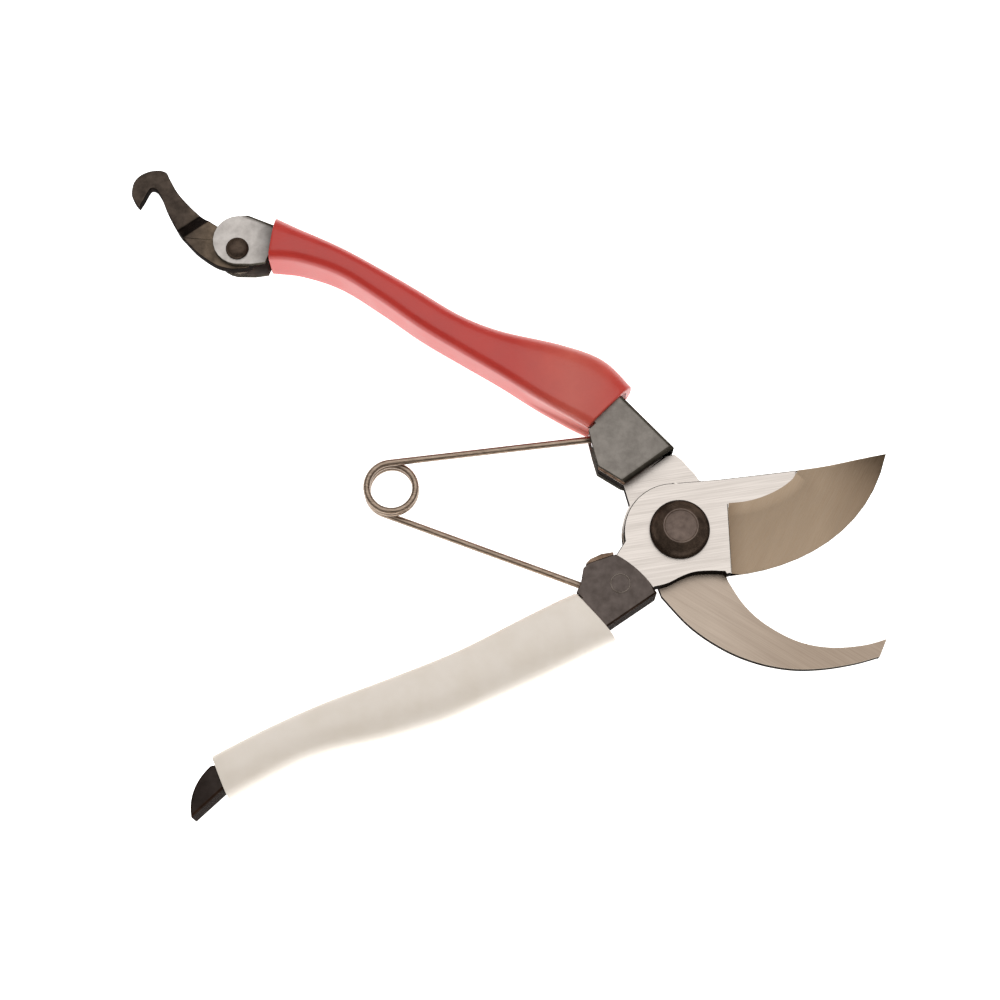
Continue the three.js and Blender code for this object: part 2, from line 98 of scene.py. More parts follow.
# The edges of each sleeve from its mouth to its tail, seen from above, in mm: the inner one faces the
# spring, and the outer one the palm.
RED_INNER = [
    (-22.9, 26.8), (-35.2, 33.9), (-45.6, 40.7), (-56.0, 47.0), (-66.6, 53.6), (-77.1, 61.2),
    (-87.8, 68.1), (-98.4, 71.8), (-106.3, 72.6)]
RED_OUTER = [
    (-11.4, 38.4), (-18.7, 45.8), (-29.4, 50.0), (-45.5, 53.7), (-56.1, 58.0), (-66.7, 64.6),
    (-77.3, 71.0), (-88.0, 77.0), (-98.7, 82.1), (-104.6, 85.2)]
WHITE_INNER = [
    (-26.8, -16.8), (-39.3, -23.0), (-56.2, -31.6), (-72.7, -38.4), (-89.1, -44.7), (-103.0, -51.0),
    (-116.4, -58.0)]
WHITE_OUTER = [
    (-16.4, -28.1), (-34.9, -37.2), (-47.4, -43.0), (-59.9, -48.5), (-72.4, -52.4), (-88.6, -56.4),
    (-97.8, -60.0), (-112.4, -68.0)]


# ---- tools for meshes -------------------------------------------------------------------

def cad_copy(name):
    """The merged mesh of a CAD node, with the flat faces of its facets made whole again."""
    bm = bmesh.new()
    bm.from_mesh(NODES[name].data)
    bmesh.ops.remove_doubles(bm, verts=bm.verts, dist=0.002 * MM)
    bmesh.ops.dissolve_limit(
        bm, angle_limit=math.radians(0.2), use_dissolve_boundaries=False, verts=bm.verts, edges=bm.edges)
    bmesh.ops.recalc_face_normals(bm, faces=bm.faces)
    return bm


def sharp_edges(bm, degrees=28):
    """The edges between two faces that turn by more than some degrees."""
    limit = math.radians(degrees)
    return [e for e in bm.edges if len(e.link_faces) == 2 and e.calc_face_angle(0) > limit]


def bevel(bm, geom, width, segments=2, affect="EDGES"):
    """Rounds edges or corners off by a width in metres."""
    bmesh.ops.bevel(
        bm, geom=geom, offset=width, offset_type="OFFSET", segments=segments, profile=0.5, affect=affect,
        clamp_overlap=False, material=-1)


def rise(face):
    """How tall a face stands."""
    heights = [v.co.z for v in face.verts]
    return max(heights) - min(heights)


def finish_piece(bm, name, body, finishes, replaces=(), crease=35):
    """The object made from a mesh: smooth but for its edges sharper than the crease in degrees, on its
    body, with its materials, and in the place of the CAD nodes that it replaces."""
    for face in bm.faces:
        face.smooth = True
    for edge in bm.edges:
        edge.smooth = len(edge.link_faces) == 2 and edge.calc_face_angle(0) < math.radians(crease)
    mesh = bpy.data.meshes.new(name)
    bm.to_mesh(mesh)
    bm.free()
    for finish in finishes:
        mesh.materials.append(finish)
    piece = bpy.data.objects.new(name, mesh)
    bpy.context.scene.collection.objects.link(piece)
    if body:
        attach(piece, body)
    if replaces:
        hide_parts(*replaces)
    return piece


def level_normals(piece):
    """Keeps broad flat faces flat to the eye beside their narrow bevels."""
    keep = piece.modifiers.new("level_normals", "WEIGHTED_NORMAL")
    keep.keep_sharp = True
    keep.weight = 80


# ---- tools for materials ----------------------------------------------------------------

def colour(code):
    """A linear RGBA colour from its sRGB hex code."""
    parts = [int(code[i:i + 2], 16) / 255 for i in (1, 3, 5)]
    linear = [c / 12.92 if c <= 0.04045 else ((c + 0.055) / 1.055) ** 2.4 for c in parts]
    return (*linear, 1.0)


def node(tree, kind, props=None, out=0, **inputs):
    """Adds a node, sets its properties, sets or links its inputs, and gives back one of its outputs.
    in0, in1 ... name an input by number."""
    made = tree.nodes.new("ShaderNode" + kind)
    for key, value in (props or {}).items():
        setattr(made, key, value)
    for key, value in inputs.items():
        socket = made.inputs[int(key[2:])] if key[:2] == "in" and key[2:].isdigit() else made.inputs[key]
        if isinstance(value, bpy.types.NodeSocket):
            tree.links.new(value, socket)
        else:
            socket.default_value = value
    return made.outputs[out]


def new_material(name, **constants):
    """A material with its shader. The constants are set on the shader's own sockets."""
    made = bpy.data.materials.new(name)
    made.use_nodes = True
    shader = made.node_tree.nodes["Principled BSDF"]
    for key, value in constants.items():
        shader.inputs[key.replace("_", " ")].default_value = value
    return made, made.node_tree, shader


def paint(tree, shader, base, roughness, relief, depth):
    """Links a finish to its shader: its colour, its roughness, and its relief of a depth in metres."""
    tree.links.new(base, shader.inputs["Base Color"])
    tree.links.new(roughness, shader.inputs["Roughness"])
    tree.links.new(node(tree, "Bump", Height=relief, Distance=depth, Strength=1.0), shader.inputs["Normal"])


# Blender's noise lies nearly all between these values, and its mean is halfway.
NOISE_LOW, NOISE_HIGH = 0.3, 0.7
IN_COLOUR = {"data_type": "RGBA"}


def grain(tree, along, across, turn=0.0, detail=4.0, shift=0.0):
    """Streaky noise: features of one length along the grain and another across it, turned about Z. The
    shift takes it from another part of the noise."""
    place = node(tree, "TexCoord", out=3)
    turned = node(tree, "Mapping", Vector=place, Rotation=(0, 0, -turn), Location=(shift, shift, shift))
    scaled = node(tree, "Mapping", Vector=turned, Scale=(1 / along, 1 / across, 1 / across))
    return node(tree, "TexNoise", Vector=scaled, Scale=1.0, Detail=detail, Roughness=0.6)


def tones_along_x(tree, base, tones):
    """Tints a colour along X from tone to tone, each given as (its place, its sRGB code)."""
    if not tones:
        return base
    first, last = tones[0][0], tones[-1][0]
    x = node(tree, "SeparateXYZ", in0=node(tree, "TexCoord", out=3))
    tint = node(tree, "ValToRGB", in0=node(tree, "MapRange", in0=x, in1=first, in2=last))
    stops = tint.node.color_ramp.elements
    stops[0].color, stops[1].color = colour(tones[0][1]), colour(tones[-1][1])
    for place, code in tones[1:-1]:
        stops.new((place - first) / (last - first)).color = colour(code)
    multiply = {"data_type": "RGBA", "blend_type": "MULTIPLY"}
    return node(tree, "Mix", multiply, out=2, in0=1.0, in6=base, in7=tint)


def worn_edge(tree, radius):
    """1 along the outer edges of a piece, fading to 0 over the radius. The normal rounded over that radius
    is the face's own on a flat, and leaves it near an edge."""
    flat, edge = 0.995, 0.9
    rounded = node(tree, "Bevel", {"samples": 4}, Radius=radius)
    straight = node(tree, "NewGeometry", out=1)
    likeness = node(tree, "VectorMath", {"operation": "DOT_PRODUCT"}, out=1, in0=rounded, in1=straight)
    return node(tree, "MapRange", in0=likeness, in1=flat, in2=edge)


# ---- materials --------------------------------------------------------------------------

def ground_steel(name, light, dark, turn, rough, line, depth, contrast, worn_tone, tones=()):
    """Carbon steel, ground on a wheel: straight scratches that catch the light in bands, bright on the
    worn edges. The real scratches are about 0.1 mm apart; they are drawn coarser, with a line's width
    between them, so that they show. The turn is their direction about Z. The tones tint the steel along
    X, each as (its place, its sRGB code)."""
    wear = 0.3 * MM
    line_length = 16 * MM
    band_length, band_width, band_share = 24 * MM, 2.4 * MM, 0.35
    middle = 0.675    # the mean of the lines with the bands' share added
    made, tree, shader = new_material(name, Metallic=1.0)
    lines = grain(tree, line_length, line, turn)
    bands = grain(tree, band_length, band_width, turn, detail=2.0, shift=0.2)
    tone = node(tree, "Math", {"operation": "MULTIPLY_ADD"}, in0=bands, in1=band_share, in2=lines)
    share = node(tree, "MapRange", in0=tone, in1=middle - contrast, in2=middle + contrast)
    base = node(tree, "Mix", IN_COLOUR, out=2, in0=share, in6=colour(dark), in7=colour(light))
    base = tones_along_x(tree, base, tones)
    worn = worn_edge(tree, wear)
    edged = node(tree, "Mix", IN_COLOUR, out=2, in0=worn, in6=base, in7=colour(worn_tone))
    shine = node(
        tree, "MapRange", in0=lines, in1=NOISE_LOW, in2=NOISE_HIGH, in3=rough - 0.06, in4=rough + 0.08)
    paint(tree, shader, edged, shine, lines, depth)
    return made


def blackened_steel(name, light, dark, rough, edge="#8C8078", tones=(), relief=0.02 * MM):
    """Steel sheet or bar blackened by heat and oil: blotchy and brown, worn to grey metal at its edges,
    and dull where it is seen at a low angle. The tones darken it along X, each as (its place, its sRGB
    code); on the grey sheet they paint shade where it runs under the sleeve's tail."""
    blotch, speck, speck_share, wear = 2.4 * MM, 0.35 * MM, 0.35, 0.25 * MM
    made, tree, shader = new_material(
        name, Metallic=0.85, Specular_IOR_Level=0.3, Specular_Tint=colour("#4A4744"))
    blotches = grain(tree, blotch, blotch, detail=6.0)
    specks = grain(tree, speck, speck, detail=3.0, shift=0.1)
    tone = node(tree, "Math", {"operation": "MULTIPLY_ADD"}, in0=specks, in1=speck_share, in2=blotches)
    share = node(tree, "MapRange", in0=tone, in1=0.5, in2=0.85)
    base = node(tree, "Mix", IN_COLOUR, out=2, in0=share, in6=colour(dark), in7=colour(light))
    base = tones_along_x(tree, base, tones)
    rubbed = node(tree, "MapRange", in0=blotches, in1=0.35, in2=0.6, in4=0.8)
    patchy = node(tree, "Math", {"operation": "MULTIPLY"}, in0=worn_edge(tree, wear), in1=rubbed)
    edged = node(tree, "Mix", IN_COLOUR, out=2, in0=patchy, in6=base, in7=colour(edge))
    shine = node(
        tree, "MapRange", in0=specks, in1=NOISE_LOW, in2=NOISE_HIGH, in3=rough - 0.08, in4=rough + 0.1)
    paint(tree, shader, edged, shine, specks, relief)
    return made


def vinyl(name, light, dark, rough, film, tones=()):
    """Soft PVC sleeve, dip moulded: an even colour in faint clouds, an orange peel and a broad dull
    shine, with a film of gloss over it that may be 0. The tones fade it along X, each as (its place, its
    sRGB code)."""
    peel_size, peel_depth, cloud = 0.9 * MM, 0.03 * MM, 9 * MM
    made, tree, shader = new_material(name, Metallic=0.0, IOR=1.53, Coat_Weight=film, Coat_Roughness=0.12)
    peel = grain(tree, peel_size, peel_size, detail=2.0)
    clouds = grain(tree, cloud, cloud, detail=3.0, shift=0.3)
    share = node(tree, "MapRange", in0=clouds, in1=0.35, in2=0.65)
    base = node(tree, "Mix", IN_COLOUR, out=2, in0=share, in6=colour(dark), in7=colour(light))
    base = tones_along_x(tree, base, tones)
    shine = node(
        tree, "MapRange", in0=clouds, in1=NOISE_LOW, in2=NOISE_HIGH, in3=rough - 0.04, in4=rough + 0.05)
    paint(tree, shader, base, shine, peel, peel_depth)
    return made


def drawn_wire(name, light, dark):
    """Spring wire, drawn through a die and heat tinted to a straw brown: fine scratches, bright on top.
    The real scratches are some hundredths of a millimetre wide; they are drawn coarser, so that they
    show."""
    scratch_length, scratch_width, scratch_depth = 3 * MM, 0.3 * MM, 0.01 * MM
    made, tree, shader = new_material(name, Metallic=1.0)
    scratches = grain(tree, scratch_length, scratch_width, turn=-0.1)
    share = node(tree, "MapRange", in0=scratches, in1=0.35, in2=0.65)
    base = node(tree, "Mix", IN_COLOUR, out=2, in0=share, in6=colour(dark), in7=colour(light))
    shine = node(tree, "MapRange", in0=scratches, in1=NOISE_LOW, in2=NOISE_HIGH, in3=0.26, in4=0.4)
    paint(tree, shader, base, shine, scratches, scratch_depth)
    return made


# Surface-ground plate: bright and nearly white, with long fine scratches that run one way.
plate_steel = ground_steel(
    "surface_ground_blade_steel", "#D3CCC6", "#B5AEA8", math.radians(9), rough=0.36, line=0.24 * MM,
    depth=0.01 * MM, contrast=0.17, worn_tone="#E8E2DA")
# Hollow-ground bevel: a duller, brownish grey than the plate, with faint scratches from the wheel across it.
# Its
# tones paint its shading: palest in the middle of its length, with painted shade towards both ends, most at
# the heel.
bevel_steel = ground_steel(
    "hollow_ground_bevel_steel", "#A3927F", "#95836F", math.radians(62), rough=0.38, line=0.24 * MM,
    depth=0.003 * MM, contrast=0.2, worn_tone="#B8A894",
    tones=[(12 * MM, "#D6D0CA"), (17 * MM, "#F4F2F0"), (36 * MM, "#FAF8F6"), (54 * MM, "#C8C2BC")])
# Coarsely ground hook: a warm grey in clear streaks, a little darker towards its tip.
counter_steel = ground_steel(
    "coarse_ground_counter_steel", "#B4A698", "#9C8E81", math.radians(-32), rough=0.4, line=0.26 * MM,
    depth=0.012 * MM, contrast=0.18, worn_tone="#D0C4B6", tones=[(8 * MM, "#FFFFFF"), (30 * MM, "#EAE6E2")])
# Forge scale, left on the walls of the forged parts, and painted shade on every side that faces away from
# the overhead light: nearly black and dull.
scale_and_side_shade = blackened_steel("forge_scale_and_painted_side_shade", "#332B27", "#1E1916", 0.55, edge="#4A403A")
# Sheet blackened by the heat of brazing: a dull charcoal in blotches, darker at the claw.
black_sheet = blackened_steel(
    "blackened_folded_sheet", "#655C58", "#524A46", 0.48, relief=0.012 * MM,
    tones=[(-118 * MM, "#8A8684"), (-100 * MM, "#FFFFFF")])
# Painted shade on the same sheet, on its walls and its bend, which turn away from the overhead light: darker
# and browner.
black_sheet_side_shade = blackened_steel("blackened_sheet_painted_side_shade", "#3C2D24", "#291E17", 0.5, edge="#5A4A40")
# A burr that a punch raised: the blackening is rubbed thin on it, so it is greyer.
ring_burr = blackened_steel("struck_ring_burr_steel", "#857B74", "#6C625C", 0.4, edge="#958B84")
# Sheet left grey by tempering: pale at the lugs, with painted shade where they run in under the sleeve's
# tail, and dark and cool at the neck.
grey_sheet = blackened_steel(
    "heat_greyed_folded_sheet", "#C2BDB9", "#A8A39F", 0.42, edge="#C8C4BC", relief=0.012 * MM,
    tones=[
        (-113 * MM, "#FFFFFF"), (-110 * MM, "#F0F0F0"), (-105 * MM, "#808080"), (-60 * MM, "#A0A0A0"),
        (-30 * MM, "#B6B4B0"), (-1 * MM, "#A8A6A2")])
# Painted shade on the same sheet round its wide bend, which turns away from the overhead light: olive grey,
# with lighter rubs.
grey_sheet_bend_shade = blackened_steel("heat_greyed_sheet_painted_bend_shade", "#5C5850", "#46423B", 0.46, edge="#7C766E")
# Packing strip with braze run over it: a brown bronze with paler corners.
braze_strip = blackened_steel("brazed_packing_steel", "#9A8270", "#5E4C3E", 0.45, edge="#C0A890")
# Turned fasteners in black oxide: brown black, worn grey on their rims.
black_oxide = blackened_steel("black_oxide_fastener_steel", "#5E5046", "#40362F", 0.42, edge="#86766A")
# The bolt's dished face: a greyer, lighter brown than the rest of the head.
bolt_face = blackened_steel("lighter_oxide_bolt_face", "#766860", "#5C504A", 0.44, edge="#9A8C80")
# Pressed hook, quenched in oil: brown, and cooler at its tip.
hook_steel = blackened_steel(
    "oil_blackened_hook_steel", "#6E6052", "#4C4238", 0.42, edge="#8A7F75",
    tones=[(-129 * MM, "#C0C2CC"), (-122 * MM, "#FFFFFF")])
# Turned bush and washer, left nearly bare: a satin grey.
bush_steel = blackened_steel("turned_bush_steel", "#A49A90", "#7C7268", 0.35, edge="#D0C8BE")
# Drawn wire: a straw brown line with a bright streak along it.
wire_steel = drawn_wire("straw_tinted_spring_wire", "#A89686", "#76675A")
# Red PVC, a little glossy: deepest along the grip, with a painted highlight where it swells towards its
# mouth and turns up to the softbox.
red_vinyl = vinyl(
    "red_dipped_vinyl", "#D4604F", "#CC5848", 0.38, film=0.2,
    tones=[
        (-60 * MM, "#F48884"), (-42 * MM, "#F59490"), (-27 * MM, "#FFF0F0"), (-20 * MM, "#FAD0CC"),
        (-12 * MM, "#F48884")])
# White PVC, with no gloss on it: a warm, soft white.
white_vinyl = vinyl("white_dipped_vinyl", "#FBF3E9", "#F5ECE0", 0.36, film=0.0)


# ---- blades -----------------------------------------------------------------------------

def shade_the_sides(bm, shade_slot, level=0.85):
    """Gives the faces that don't lie level their own dark finish, as painted shade where they turn away from
    the overhead light: over forge scale on the forged parts, on the sheet at its bend.
    """
    for face in bm.faces:
        if abs(face.normal.z) < level:
            face.material_index = shade_slot


def make_cutting_blade():
    """The upper blade: a bright plate with a hollow-ground bevel, chamfered round its top."""
    bm = cad_copy("cutting_blade")
    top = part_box("cutting_blade")[1].z
    heel, chamfer = 12 * MM, 0.28 * MM
    for face in bm.faces:
        middle = face.calc_center_median()
        hollow = face.normal.z > 0.5 and middle.z < top - 0.03 * MM and middle.x > heel
        face.material_index = 1 if hollow else 0
    rim = top - 0.01 * MM
    bevel(bm, [e for e in sharp_edges(bm) if all(v.co.z > rim for v in e.verts)], chamfer)
    bevel(bm, sharp_edges(bm), BROKEN_EDGE)
    # Painted shade: the blade's walls and chamfers get the dark finish, over their forge scale.
    shade_the_sides(bm, 2)
    piece = finish_piece(
        bm, "cutting_blade_ground", "cutting_half",
        [plate_steel, bevel_steel, scale_and_side_shade], ["cutting_blade"])
    level_normals(piece)


def make_counter_blade():
    """The hooked blade: ground bright at its tang and coarsely on its hook, whose outer side is eased away
    underneath, so little of it shows from above."""
    bm = cad_copy("counter_blade")
    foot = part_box("counter_blade")[0].z + 0.01 * MM
    hook_start, hook_end, ease_width = -6 * MM, 50 * MM, 1.3 * MM
    eased = []
    for edge in sharp_edges(bm, 60):
        on_hook = all(v.co.z < foot and hook_start < v.co.x < hook_end for v in edge.verts)
        if on_hook and any(abs(f.normal.z) < 0.1 and f.normal.y < -0.2 for f in edge.link_faces):
            eased.append(edge)
    bevel(bm, eased, ease_width)
    bevel(bm, sharp_edges(bm), BROKEN_EDGE)
    # A cut through the pivot parts the tang's finish from the hook's.
    bmesh.ops.bisect_plane(
        bm, geom=bm.verts[:] + bm.edges[:] + bm.faces[:], dist=0.001 * MM, plane_co=(0, 0, 0),
        plane_no=(0, 1, 0))
    for face in bm.faces:
        face.material_index = 1 if face.calc_center_median().y > 0 else 0
    # Painted shade: the blade's walls get the dark finish, over their forge scale.
    shade_the_sides(bm, 2)
    piece = finish_piece(
        bm, "counter_blade_ground", "counter_half",
        [counter_steel, plate_steel, scale_and_side_shade], ["counter_blade"])
    level_normals(piece)


# ---- handles ----------------------------------------------------------------------------

def make_shell(name, body, finish, bend_shade_finish, fold_width):
    """The folded sheet: a wide bend where the wall stands at full height, crisp sheared edges elsewhere, and
    painted shade on its walls and bends.
    """
    bm = cad_copy(name)
    low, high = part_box(name)
    full = 0.95 * (high.z - low.z)
    fold = []
    for edge in sharp_edges(bm, 60):
        ends = {round(v.co.z / MM, 2) for v in edge.verts}
        level = ends == {round(low.z / MM, 2)} or ends == {round(high.z / MM, 2)}
        if level and any(rise(face) > full for face in edge.link_faces):
            fold.append(edge)
    bevel(bm, fold, fold_width, segments=4)
    bevel(bm, sharp_edges(bm, 50), BROKEN_EDGE)
    # Painted shade: the walls and bends get the darker copy of the sheet's finish.
    shade_the_sides(bm, 1, level=0.975)
    piece = finish_piece(bm, name + "_folded", body, [finish, bend_shade_finish], [name])
    level_normals(piece)


def make_ring_stamp():
    """The plain ring struck into the top of the white handle's neck, as the burr that it raises."""
    ring_r, burr_r, sunk = 2.4 * MM, 0.2 * MM, 0.05 * MM
    middle = Vector((-15.3 * MM, -14.2 * MM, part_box("white_handle_shell")[1].z - sunk))
    bm = bmesh.new()
    bmesh.ops.create_circle(bm, segments=10, radius=burr_r)
    bmesh.ops.rotate(bm, verts=bm.verts, matrix=Matrix.Rotation(math.radians(90), 3, "X"))
    bmesh.ops.translate(bm, verts=bm.verts, vec=middle + Vector((ring_r, 0, 0)))
    bmesh.ops.spin(
        bm, geom=bm.verts[:] + bm.edges[:], cent=middle, axis=(0, 0, 1), angle=math.tau, steps=48,
        use_merge=True, use_duplicate=False)
    bmesh.ops.recalc_face_normals(bm, faces=bm.faces)
    finish_piece(bm, "white_neck_ring_stamp", "cutting_half", [ring_burr])


def smooth_path(points, share):
    """The point at a share of the length of a smooth curve through points, all in mm."""
    spans = [(b - a).length for a, b in zip(points, points[1:])]
    left = share * sum(spans)
    step = 0
    while step < len(spans) - 1 and left > spans[step]:
        left -= spans[step]
        step += 1
    t = left / spans[step]
    before, start = points[max(step - 1, 0)], points[step]
    end, after = points[step + 1], points[min(step + 2, len(points) - 1)]
    leave, arrive = (end - before) / 2, (after - start) / 2
    return (
        start * (2 * t**3 - 3 * t**2 + 1) + leave * (t**3 - 2 * t**2 + t)
        + end * (3 * t**2 - 2 * t**3) + arrive * (t**3 - t**2))


def sleeve_section(width, half_height, corner, groove):
    """The sleeve's section, as (across, height) in mm: from the foot of its upright inner side, round its
    full palm side, and down the inner side with its groove."""
    turns = [math.radians(90 * i / QUARTER_STEPS) for i in range(QUARTER_STEPS + 1)]
    under = [(corner * (1 - math.cos(a)), corner * (1 - math.sin(a)) - half_height) for a in turns]
    palm, power = width - corner, 2 / PALM_SQUARENESS
    under += [
        (corner + palm * math.sin(a) ** power, -half_height * math.cos(a) ** power) for a in turns[1:-1]]
    over = [(u, -z) for u, z in reversed(under)]
    inside = [(groove * share, z) for share, z in GROOVE]
    return under + [(width, 0)] + over + inside


def ring_of(bm, start, end, section):
    """A closed loop of edges: a section stood up on the line from one edge of a sleeve to the other."""
    across = (end - start).normalized()
    verts = []
    for u, z in section:
        x, y = start.x + across.x * u, start.y + across.y * u
        verts.append(bm.verts.new((x * MM, y * MM, (SLEEVE_MIDDLE + z) * MM)))
    return [bm.edges.new(pair) for pair in zip(verts, verts[1:] + verts[:1])]


def ease(share):
    """From 0 to 1 with a soft start and a soft end."""
    share = min(max(share, 0.0), 1.0)
    return share * share * (3 - 2 * share)


def make_sleeve(name, body, finish, inner, outer, corner, groove_depth):
    """The dipped sleeve: one skin from mouth to tail, turned in at both ends and back along the handle."""
    inner = [Vector((x, y, 0)) for x, y in inner]
    outer = [Vector((x, y, 0)) for x, y in outer]
    bm = bmesh.new()
    rings, bores = [], []
    for i in range(STATIONS + 1):
        t = i / STATIONS
        start, end = smooth_path(inner, t), smooth_path(outer, t)
        width = (end - start).length
        ends = MOUTH_DROP * (1 - ease(t / MOUTH_RUN)) + TAIL_DROP * (1 - ease((1 - t) / TAIL_RUN))
        waist = WAIST_DROP * math.sin(math.pi * min(t / WAIST_RUN, 1.0)) ** 2
        groove = groove_depth * max(0.0, 1 - t / GROOVE_RUN)
        section = sleeve_section(width, SLEEVE_HALF - ends - waist, corner, groove)
        rings.append(ring_of(bm, start, end, section))
        if i % BORE_EVERY == 0:
            bore = [
                (SLEEVE_WALL + u * (width - 2 * SLEEVE_WALL) / width, z * SLEEVE_BORE / SLEEVE_HALF)
                for u, z in sleeve_section(width, SLEEVE_HALF, corner, 0)]
            bores.append(ring_of(bm, start, end, bore))
    skin = rings + bores[::-1]
    for one, other in zip(skin, skin[1:] + skin[:1]):
        bmesh.ops.bridge_loops(bm, edges=one + other)
    bmesh.ops.recalc_face_normals(bm, faces=bm.faces)
    rim_width = 0.35 * MM
    bevel(bm, rings[0] + rings[-1], rim_width, segments=3)
    finish_piece(bm, name + "_vinyl", body, [finish], [name], crease=60)


def make_small_part(name, ending, body, finish, width, degrees=28):
    """A small part as the CAD model has it, with its edges broken by a width."""
    bm = cad_copy(name)
    bevel(bm, sharp_edges(bm, degrees), width)
    finish_piece(bm, name + ending, body, [finish], [name])


# ---- pivot ------------------------------------------------------------------------------

def spun(profile, centre, steps=96):
    """A closed turned body, from its profile of (radius, height) points that starts and ends on the
    axis."""
    bm = bmesh.new()
    verts = [bm.verts.new((centre.x + r, centre.y, z)) for r, z in profile]
    edges = [bm.edges.new(pair) for pair in zip(verts, verts[1:])]
    bmesh.ops.spin(
        bm, geom=verts + edges, cent=centre, axis=(0, 0, 1), angle=math.tau, steps=steps,
        use_merge=True, use_duplicate=False)
    bmesh.ops.remove_doubles(bm, verts=bm.verts, dist=0.001 * MM)
    bmesh.ops.recalc_face_normals(bm, faces=bm.faces)
    return bm


def arc(centre, radius, start, end, steps):
    """Points on an arc of a turned profile, between two angles in degrees."""
    turns = [math.radians(start + (end - start) * i / steps) for i in range(steps + 1)]
    return [(centre[0] + radius * math.cos(a), centre[1] + radius * math.sin(a)) for a in turns]


def make_pivot_bolt():
    """The bolt: a broad head with a rounded rim, a raised lip round its dished face, and a plain shank."""
    low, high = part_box("pivot_bolt")
    head_r, crown = high.x, high.z
    shank, foot_chamfer = 4.0 * MM, 0.7 * MM
    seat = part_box("cutting_blade")[1].z + 0.1 * MM
    rim_r = 0.35 * MM
    # The top of the head, as the radius and the depth under its highest point in mm: the cone up to the
    # lip, the lip and the dish inside it.
    lip = 4.5
    top = [
        (6.4, 1.3), (5.5, 0.75), (4.75, 0.32), (lip, 0.06), (4.35, 0), (4.15, 0.03), (3.95, 0.14), (0, 0.18)]
    profile = [
        (0, low.z), (shank - foot_chamfer, low.z), (shank - 0.1 * MM, low.z + 0.5 * MM),
        (shank, low.z + foot_chamfer), (shank, seat), (head_r - 0.4 * MM, seat),
        *arc((head_r - rim_r, seat + rim_r), rim_r, -90, 0, 3),
        (head_r - 0.1 * MM, seat + 1.1 * MM), (head_r - 0.45 * MM, seat + 2.0 * MM),
        *[(r * MM, crown - depth * MM) for r, depth in top]]
    bm = spun(profile, Vector((0, 0, 0)))
    for face in bm.faces:
        middle = face.calc_center_median()
        if face.normal.z > 0.9 and Vector(middle[:2]).length < lip * MM and middle.z > seat:
            face.material_index = 1
    finish_piece(
        bm, "pivot_bolt_turned", "cutting_half", [black_oxide, bolt_face],
        ["pivot_bolt"], crease=40)


def make_pivot_nut():
    """The hexagon nut under the blades, with its corners turned off."""
    bm = cad_copy("pivot_nut")
    corner_r, turned_off = 6 * MM, 0.9 * MM
    corners = [v for v in bm.verts if Vector(v.co[:2]).length > corner_r]
    bevel(bm, corners, turned_off, affect="VERTICES")
    bevel(bm, sharp_edges(bm, 40), BROKEN_EDGE)
    piece = finish_piece(
        bm, "pivot_nut_hex", "cutting_half", [black_oxide], ["pivot_nut"])
    level_normals(piece)


# ---- spring -----------------------------------------------------------------------------

